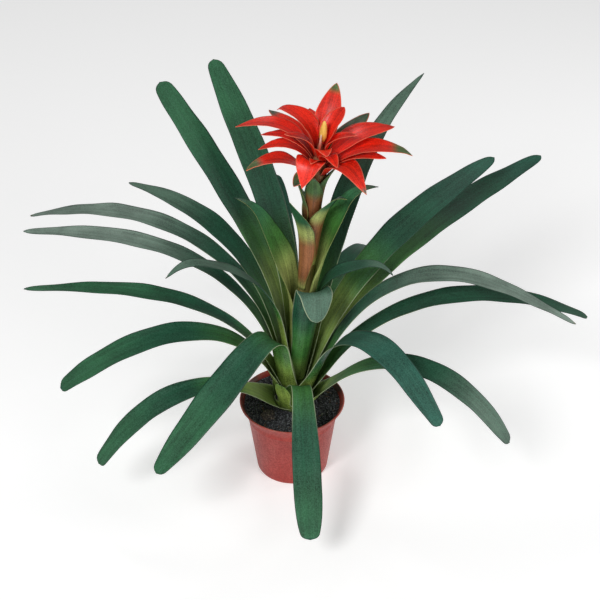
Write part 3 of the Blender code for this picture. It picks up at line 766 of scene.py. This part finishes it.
def tissue_group():
    """Plant skin on a blade: veins that run its length, stipple, a waxy bloom with painted sheen streaks and
    a lined margin.
    """
    tree, given, put = new_group(
        "blade tissue",
        [
            ("Vein Contrast", "Float"), ("Stipple Contrast", "Float"), ("Wax And Sheen", "Float"),
            ("Wax And Sheen Colour", "Color"), ("Sheath Margin", "Color"), ("Blade Margin", "Color"),
            ("Margin Width", "Float"),
        ],
        [("Colour", "Color"), ("Gloss Loss", "Float"), ("Height", "Float")],
    )
    strip = node(tree, "UVMap", uv_map="strip").outputs[0]
    place = node(tree, "TexCoord").outputs["Object"]
    tint = node(tree, "Attribute", attribute_name="tint").outputs["Color"]
    margin = node(tree, "Attribute", attribute_name="margin").outputs["Fac"]
    along = node(tree, "Attribute", attribute_name="along").outputs["Fac"]
    fibres = band(tree, drawn_out(tree, strip, (900.0, 14.0, 1.0), 4.0), 0.3, 0.7)
    veins = band(tree, drawn_out(tree, strip, (300.0, 3.0, 1.0)), 0.3, 0.7)
    # Lengthwise streaks that paint sheen along the blade.
    sheen_streaks = band(tree, drawn_out(tree, strip, (120.0, 5.0, 1.0), 4.0), 0.48, 0.70)
    skin = mottle(tree, place, 30.0, 680.0)

    lines = sum_of(tree, fibres, veins)
    swing = times(tree, sum_of(tree, lines, -1.0), given.outputs["Vein Contrast"])
    specks = sum_of(tree, skin.outputs["Grain"], skin.outputs["Blotch"])
    drift = times(tree, sum_of(tree, specks, -1.0), given.outputs["Stipple Contrast"])
    level = sum_of(tree, sum_of(tree, swing, drift), 1.0)
    lit = node(tree, "HueSaturation", {"Value": level, "Color": tint}).outputs[0]
    # The bloom: an even wax bloom plus the streaks, which are painted sheen, mixed in the bloom colour.
    bloom_and_sheen_share = sum_of(tree, times(tree, sheen_streaks, 0.30), 0.27)
    grained_bloom_and_sheen = times(tree, bloom_and_sheen_share, band(tree, skin.outputs["Grain"], 0, 1, 0.2, 1.2))
    wax_and_sheen = times(tree, grained_bloom_and_sheen, given.outputs["Wax And Sheen"])
    waxed_and_sheened = mix_colour(tree, wax_and_sheen, lit, given.outputs["Wax And Sheen Colour"])
    past_sheath = band(tree, along, 0.30, 0.60)
    edge = mix_colour(tree, past_sheath, given.outputs["Sheath Margin"], given.outputs["Blade Margin"])
    rim = band(tree, margin, 0.0, given.outputs["Margin Width"], 0.85, 0.0)
    tree.links.new(mix_colour(tree, rim, waxed_and_sheened, edge), put.inputs["Colour"])
    tree.links.new(times(tree, skin.outputs["Grain"], 0.14), put.inputs["Gloss Loss"])
    tree.links.new(sum_of(tree, lines, times(tree, skin.outputs["Grain"], 0.5)), put.inputs["Height"])
    return tree


TISSUE = tissue_group()


def living_skin(name, vein, stipple, wax_and_sheen, wax_and_sheen_colour, sheath_margin, blade_margin, roughness, coat=0.0):
    """Plant skin of one face of a blade: the tissue group with its own strengths and margin colours."""
    made, tree, skin = shader(
        name, Metallic=0.0, IOR=1.45, Specular_IOR_Level=0.36, Coat_Weight=coat, Coat_Roughness=0.25,
    )
    tissue = node(tree, "Group", {
        "Vein Contrast": vein, "Stipple Contrast": stipple, "Wax And Sheen": wax_and_sheen, "Margin Width": MARGIN_WIDTH,
        "Wax And Sheen Colour": (*wax_and_sheen_colour, 1), "Sheath Margin": (*sheath_margin, 1),
        "Blade Margin": (*blade_margin, 1),
    }, node_tree=TISSUE)
    tree.links.new(tissue.outputs["Colour"], skin.inputs["Base Color"])
    tree.links.new(sum_of(tree, tissue.outputs["Gloss Loss"], roughness), skin.inputs["Roughness"])
    relief(tree, skin, tissue.outputs["Height"], 0.35, 0.00020)
    return made


# The third number of each skin sets its wax bloom and its painted sheen streaks.
LEAF_SKINS = [
    living_skin("leaf_upper", 0.36, 0.86, 0.20, WAX_AND_SHEEN, CREAM, DARK_EDGE, 0.24, 0.10),
    living_skin("leaf_under", 0.34, 0.50, 0.60, WAX_AND_SHEEN, CREAM, DARK_EDGE, 0.46),
    living_skin("leaf_rim", 0.10, 0.20, 0.30, CREAM, CREAM, DARK_EDGE, 0.50),
]
FLAP_SKINS = [
    living_skin("flap_upper", 0.36, 0.80, 0.30, WAX_AND_SHEEN, CREAM, CREAM, 0.28, 0.05),
    living_skin("flap_under", 0.34, 0.50, 0.60, WAX_AND_SHEEN, CREAM, CREAM, 0.46),
    living_skin("flap_rim", 0.10, 0.20, 0.30, CREAM, CREAM, CREAM, 0.50),
]
for blade in LEAVES:
    skins = FLAP_SKINS if blade.name == "leaf_23_front_folded" else LEAF_SKINS
    grow(blade, LEAF, leaf_tints(*LEAF_LOOKS.get(blade.name, COMMON_LOOK)), skins)

# ---------------------------------------------------------------------------------------------------------
# Spike sheaths. Short leaves that clasp the flower spike below the head: pale yellow-green where they grip
# it, flushed brick pink above, and green again towards their free tips.
# ---------------------------------------------------------------------------------------------------------
SHEATH = Kind(0.0007, 48, 14, math.radians(46), math.radians(75), 0.42, 1.0, 0.28, 0.00025)
SPIKE_BRACTS = [
    Blade("spike_leaf_left", 232, 33, 170, 57, 88, 52, 0.62, 0.60, 45, -30, 28, 0.40, 1.1),
    Blade("spike_leaf_right", 255, 36, 4, 62, 89, 60, 0.80, 0.60, 60, 26, 30, 0.35, 1.1),
    Blade("spike_bract_left", 126, 30, 226, 166, 88, 56, 0.65, 0.50, 0, 0, 14, 0.40, 1.3),
    Blade("spike_bract_right", 108, 30, 320, 198, 87, 54, 0.65, 0.40, 50, 0, 14, 0.45, 1.1),
    Blade("spike_bract_back", 85, 24, 100, 212, 87, 56, 0.60, 0.50, 0, 0, 14, 0.45, 1.1),
    Blade("spike_bract_upper_left", 62, 21, 182, 240, 84, 66, 0.60, 0.50, 0, 0, 12, 0.50, 1.3),
    Blade("spike_bract_upper_front", 60, 22, 259, 256, 86, 60, 0.60, 0.50, 0, 0, 14, 0.50, 1.3),
    Blade("spike_bract_upper_right", 56, 23, 343, 266, 88, 62, 0.60, 0.50, 0, 0, 13, 0.50, 1.3),
]
PALE_YELLOW_GREEN = (0.330, 0.380, 0.110)
BRICK_PINK = (0.230, 0.085, 0.030)
SAGE = (0.075, 0.150, 0.050)
SPIKE_LEAF_TINTS = [
    (0.0, BRICK_PINK), (0.12, PALE_YELLOW_GREEN), (0.50, PALE_YELLOW_GREEN), (0.72, LEAF_GREEN),
    (0.90, FRESH_GREEN), (1.0, GREY_GREEN),
]
SHEATH_TINTS = [
    (0.0, PALE_YELLOW_GREEN), (0.14, BRICK_PINK), (0.45, BRICK_PINK), (0.60, PALE_YELLOW_GREEN),
    (0.75, FRESH_GREEN), (1.0, DEEP_GREEN),
]
UPPER_TINTS = [(0.0, BRICK_PINK), (0.35, BRICK_PINK), (0.60, SAGE), (0.9, SAGE), (1.0, GREY_GREEN)]
SPIKE_SKINS = [
    living_skin("sheath_inner", 0.34, 0.50, 0.08, WAX_AND_SHEEN, PALE_YELLOW_GREEN, DARK_EDGE, 0.38, 0.05),
    living_skin("sheath_outer", 0.38, 0.55, 0.12, WAX_AND_SHEEN, PALE_YELLOW_GREEN, DARK_EDGE, 0.42),
    living_skin("sheath_rim", 0.10, 0.20, 0.30, *[PALE_YELLOW_GREEN] * 3, 0.50),
]
for blade in SPIKE_BRACTS:
    if blade.name.startswith("spike_leaf"):
        tints = SPIKE_LEAF_TINTS
    else:
        tints = UPPER_TINTS if "upper" in blade.name else SHEATH_TINTS
    grow(blade, SHEATH, tints, SPIKE_SKINS)

# ---------------------------------------------------------------------------------------------------------
# Flower head. A star of scarlet bracts, waxy and gently guttered, in rising rings round the top of the
# spike. Some keep a sage-green tip, and the outermost ones at the back are still mostly green.
# ---------------------------------------------------------------------------------------------------------
PETAL = Kind(0.0007, 40, 14, math.radians(44), math.radians(46), 0.42, 1.0, 0.0, 0.00030)
HEAD_BRACTS = [
    Blade("bract_01_left_outer", 29, 18, 226, 304, 46, -50, 0.50, 0.80, 0, 0, 30, 0.50, 1.4),
    Blade("bract_02_back_right_outer", 83, 26, 50, 305, 50, 14, 0.50, 0.80, 0, 0, 30, 0.50, 1.4),
    Blade("bract_03_front_left", 52, 31, 245, 314, 62, -66, 0.44, 0.25, 0, 0, 30, 0.56, 1.1),
    Blade("bract_04_front_right", 69, 34, 319, 309, 57, -44, 0.45, 0.45, 0, 0, 34, 0.58, 1.1),
    Blade("bract_05_back", 76, 27, 98, 309, 52, 0, 0.50, 0.80, 0, 0, 30, 0.50, 1.4),
    Blade("bract_06_left_low", 75, 26, 196, 307, 48, -31, 0.50, 0.80, 20, 0, 30, 0.55, 1.3),
    Blade("bract_07_right", 96, 30, 358, 314, 51, -14, 0.45, 0.80, 20, 0, 30, 0.50, 1.4),
    Blade("bract_08_back_left", 76, 26, 138, 313, 55, 4, 0.50, 0.80, 0, 0, 30, 0.50, 1.4),
    Blade("bract_09_left", 64, 22, 182, 318.7, 57, -34, 0.50, 0.80, 0, 0, 30, 0.55, 1.3),
    Blade("bract_10_right_upper", 84, 32, 20, 319, 54, -5, 0.50, 0.80, 0, 0, 34, 0.50, 1.4),
    Blade("bract_11_front_small", 34, 19, 302, 322, 66, -30, 0.50, 0.40, 0, 0, 15, 0.60, 1.3),
    Blade("bract_12_left_long", 96, 25, 167, 325, 58, -30, 0.45, 0.80, 0, 0, 25, 0.50, 1.4),
    Blade("bract_13_top", 76, 28, 74, 324, 76, 42, 0.50, 0.80, 0, 0, 25, 0.50, 1.4),
    Blade("bract_14_left_small", 30, 13, 252, 318.5, 66, 0, 0.50, 0.60, 0, 0, 12, 0.60, 1.3),
    Blade("bract_15_right_inner", 44, 19, 349, 330, 79, 6, 0.50, 0.80, 0, 0, 14, 0.55, 1.4),
    Blade("bract_16_curled", 67, 29, 153, 332, 76, -3, 0.50, 0.70, 50, 0, 16, 0.50, 1.4),
    Blade("bract_17_top_right", 47, 24, 38, 335, 79, 44, 0.50, 0.80, 0, 0, 16, 0.45, 1.6),
    Blade("bract_18_front_inner", 34, 18, 280, 327, 74, -6, 0.50, 0.60, 0, 0, 14, 0.55, 1.4),
    Blade("bract_19_left_inner", 46, 18, 197, 328, 71, 6, 0.50, 0.70, 0, 0, 14, 0.55, 1.4),
    Blade("bract_20_right_low", 68, 22, 348, 311.5, 54, -6, 0.50, 0.80, 0, 0, 30, 0.50, 1.4),
    Blade("bract_21_left_mid", 64, 20, 174, 322.5, 60, -20, 0.50, 0.80, 0, 0, 30, 0.50, 1.4),
]
SCARLET = (0.720, 0.016, 0.004)
# Dark red at the foot of every bract: painted shade in the crowded middle of the head.
PAINTED_SHADE_RED = (0.240, 0.008, 0.006)
PINK_EDGE = (0.85, 0.18, 0.10)
# Pinkish white of the bracts' bloom and of their painted sheen streaks.
PETAL_WAX_AND_SHEEN = (0.90, 0.16, 0.09)
RED_TINTS = [(0.0, PAINTED_SHADE_RED), (0.25, SCARLET), (1.0, SCARLET)]
GREEN_TINTS = [(0.0, PAINTED_SHADE_RED), (0.35, SAGE), (1.0, DEEP_GREEN)]


def tipped(red_to, green_from, green):
    """Painted shade at the foot, scarlet up to a share of the bract's length, then a green tip."""
    return [(0.0, PAINTED_SHADE_RED), (0.25, SCARLET), (red_to, SCARLET), (green_from, green), (1.0, green)]


PETAL_TINTS = {
    "bract_01_left_outer": GREEN_TINTS,
    "bract_02_back_right_outer": GREEN_TINTS,
    "bract_04_front_right": tipped(0.86, 0.96, GREY_GREEN),
    "bract_06_left_low": tipped(0.72, 0.84, SAGE),
    "bract_07_right": tipped(0.72, 0.84, SAGE),
    "bract_08_back_left": tipped(0.80, 0.92, GREY_GREEN),
    "bract_13_top": tipped(0.82, 0.93, SAGE),
}
PETAL_SKINS = [
    living_skin("petal_inner", 0.34, 0.44, 0.08, PETAL_WAX_AND_SHEEN, PINK_EDGE, PINK_EDGE, 0.26, 0.20),
    living_skin("petal_outer", 0.34, 0.44, 0.14, PETAL_WAX_AND_SHEEN, PINK_EDGE, PINK_EDGE, 0.32, 0.10),
    living_skin("petal_rim", 0.10, 0.20, 0.30, PINK_EDGE, PINK_EDGE, PINK_EDGE, 0.45),
]
for blade in HEAD_BRACTS:
    grow(blade, PETAL, PETAL_TINTS.get(blade.name, RED_TINTS), PETAL_SKINS)

# ---------------------------------------------------------------------------------------------------------
# Flower buds. The true flowers of the plant: a plump orange-yellow bud standing in the middle of the head,
# its petals still rolled round each other, and a thin whitish one beside it.
# ---------------------------------------------------------------------------------------------------------
# Radius and length of each, its height above the cone, and its reach and heading from the axis, in
# millimetres and degrees.
FLOWERS = {
    "flower_bud": (4.0, 24, 0.4, 1.5, 0),
    "flower_bud_small": (1.5, 20, -8, 6.0, 262),
}
BUD_BLUSH = (-0.004, 0.020)
BUD_FOLDS = 3
BUD_FOLD_DEPTH = 0.10
BUD_TWIST = 1.4
BUD_ORANGE = (0.80, 0.33, 0.035)
BUD_YELLOW = (0.85, 0.56, 0.12)
BUD_PINK = (0.55, 0.10, 0.05)
BUD_WHITE = (0.80, 0.74, 0.62)


def bud_mesh(name, radius, length, above, reach, heading):
    """A ball drawn out to a bud, with the folds of its rolled petals winding round it."""
    shape = bmesh.new()
    bmesh.ops.create_uvsphere(shape, u_segments=36, v_segments=28, radius=1)
    for vert in shape.verts:
        turn = math.atan2(vert.co.y, vert.co.x) + vert.co.z * BUD_TWIST
        fold = 1 - BUD_FOLD_DEPTH * (1 - abs(math.sin(BUD_FOLDS * turn / 2))) ** 3
        waist = 0.80 + 0.28 * smooth(0.5 - vert.co.z * 0.5)
        vert.co.x *= fold * waist
        vert.co.y *= fold * waist
    bmesh.ops.scale(shape, vec=(radius / 1000, radius / 1000, length / 2000), verts=shape.verts)
    turn = math.radians(heading)
    tip = HEAD_HEIGHT + HEAD_LENGTH + HEAD_TIP_RADIUS
    spot = (reach / 1000 * math.cos(turn), reach / 1000 * math.sin(turn), tip + (above + length / 2) / 1000)
    bmesh.ops.translate(shape, vec=spot, verts=shape.verts)
    bmesh.ops.transform(shape, matrix=ROSETTE, verts=shape.verts)
    return mesh_from(shape, name)


def bud_skin(name, low, high):
    """Waxy petal, one colour at the foot and another towards the tip."""
    made, tree, skin = shader(name, Metallic=0.0, IOR=1.42, Coat_Weight=0.2, Coat_Roughness=0.25)
    place = node(tree, "TexCoord").outputs["Object"]
    height = node(tree, "SeparateXYZ", {0: place}).outputs["Z"]
    flush = mottle(tree, place, 220.0, 1900.0)
    top = SOIL_TOP - PLANT_DEPTH + HEAD_HEIGHT + HEAD_LENGTH
    tone = mix_colour(tree, band(tree, height, top + BUD_BLUSH[0], top + BUD_BLUSH[1]), low, high)
    patchy = mix_colour(tree, times(tree, flush.outputs["Blotch"], 0.45), tone, low)
    tree.links.new(patchy, skin.inputs["Base Color"])
    tree.links.new(band(tree, flush.outputs["Grain"], 0, 1, 0.34, 0.55), skin.inputs["Roughness"])
    relief(tree, skin, flush.outputs["Grain"], 0.4, 0.00015)
    return made


BUD_SKINS = {
    "flower_bud": bud_skin("bud_yellow", BUD_ORANGE, BUD_YELLOW),
    "flower_bud_small": bud_skin("bud_white", BUD_PINK, BUD_WHITE),
}
for name, sizes in FLOWERS.items():
    bud = piece(name.replace("_", "-"), bud_mesh(name, *sizes), [BUD_SKINS[name]])
    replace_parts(bud, name)

# ---------------------------------------------------------------------------------------------------------
# Studio. A plain white table that runs out of view, soft lamps in front, behind and to one side, and a long
# lens looking down on the plant from the front.
# ---------------------------------------------------------------------------------------------------------
AIM = Vector((0.009, 0, 0.233))
CAMERA_DISTANCE = 1.5
CAMERA_ELEVATION = math.radians(35.5)
LENS_MM = 83
TABLE_SIZE = 12
TABLE_WHITE = (0.90, 0.90, 0.90, 1)
TABLE_GLOW = 0.34
ROOM_LIGHT = 0.22


def lamp(name, place, size, power):
    light = bpy.data.lights.new(name, "AREA")
    light.shape = "DISK"
    light.size = size
    light.energy = power
    made = bpy.data.objects.new(name, light)
    made.location = place
    made.rotation_euler = (AIM - Vector(place)).to_track_quat("-Z", "Y").to_euler()
    bpy.context.scene.collection.objects.link(made)


table_shape = bmesh.new()
bmesh.ops.create_grid(table_shape, x_segments=1, y_segments=1, size=TABLE_SIZE / 2)
table = bpy.data.objects.new("table", mesh_from(table_shape, "table"))
table_finish, _, table_skin = shader("table_white", Roughness=0.9)
table_skin.inputs["Base Color"].default_value = TABLE_WHITE
table_skin.inputs["Specular IOR Level"].default_value = 0.1
table_skin.inputs["Emission Color"].default_value = TABLE_WHITE
table_skin.inputs["Emission Strength"].default_value = TABLE_GLOW
table.data.materials.append(table_finish)
bpy.context.scene.collection.objects.link(table)

lamp("key", (-0.9, -1.7, 1.9), 0.8, 36)
lamp("fill", (1.3, -1.5, 1.2), 1.0, 11)
lamp("back", (-0.5, 1.3, 2.0), 0.5, 6)
lamp("side", (1.7, 0.45, 0.55), 0.6, 7)

sky = bpy.data.worlds.new("studio")
sky.use_nodes = True
sky.node_tree.nodes["Background"].inputs["Color"].default_value = (1, 1, 1, 1)
sky.node_tree.nodes["Background"].inputs["Strength"].default_value = ROOM_LIGHT
bpy.context.scene.world = sky
bpy.context.scene.view_settings.view_transform = "Standard"

view = bpy.data.cameras.new("camera")
view.lens = LENS_MM
view.sensor_width = 36
back = Vector((0, -math.cos(CAMERA_ELEVATION), math.sin(CAMERA_ELEVATION)))
camera = bpy.data.objects.new("camera", view)
camera.location = AIM + back * CAMERA_DISTANCE
camera.rotation_euler = (-back).to_track_quat("-Z", "Y").to_euler()
bpy.context.scene.collection.objects.link(camera)
bpy.context.scene.camera = camera
